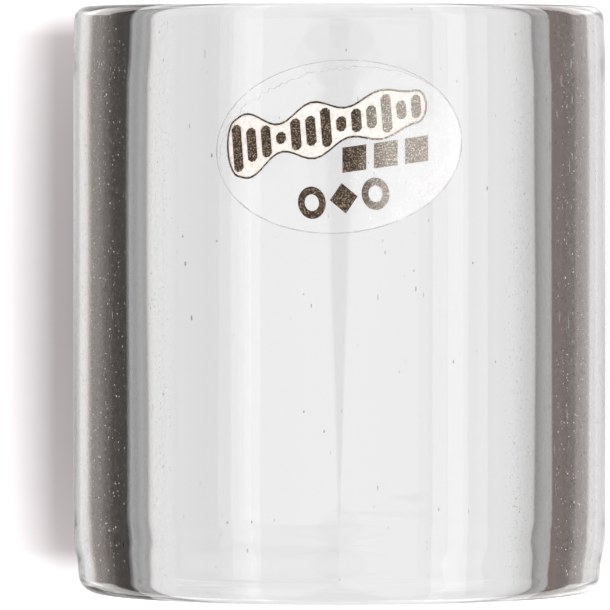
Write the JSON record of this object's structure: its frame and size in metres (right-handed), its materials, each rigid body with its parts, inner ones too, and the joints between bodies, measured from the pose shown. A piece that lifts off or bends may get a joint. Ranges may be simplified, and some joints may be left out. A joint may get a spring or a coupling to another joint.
{
  "type": "guitar slide",
  "caption": "Short clear glass tube with fire-polished ends and an oval clear label, worn on a finger and slid along guitar strings.",
  "frame": {"origin": "centre of the bore: on its axis, halfway along the tube", "axes": "+Y along the bore towards the fingertip end, +Z out through the middle of the label, +X across; the tube lies on its side"},
  "size_m": [0.025, 0.0274, 0.0252],
  "materials": {
    "clear_glass": "polished, clear, no tint, with a few fine seeds",
    "label_adhesive": "clear, slightly milky where air is trapped",
    "label_film": "clear gloss film",
    "cream_ink": "thin cream underprint",
    "dark_ink": "dark bronze ink with a broken, flecked face"
  },
  "bodies": {
    "root": {"glass_tube": "clear_glass", "label_adhesive": "label_adhesive", "label_film": "label_film", "print_backing": "cream_ink", "print_keyline": "dark_ink", "print_wave": "dark_ink", "print_blocks": "dark_ink", "print_symbols": "dark_ink"}
  },
  "joints": []
}
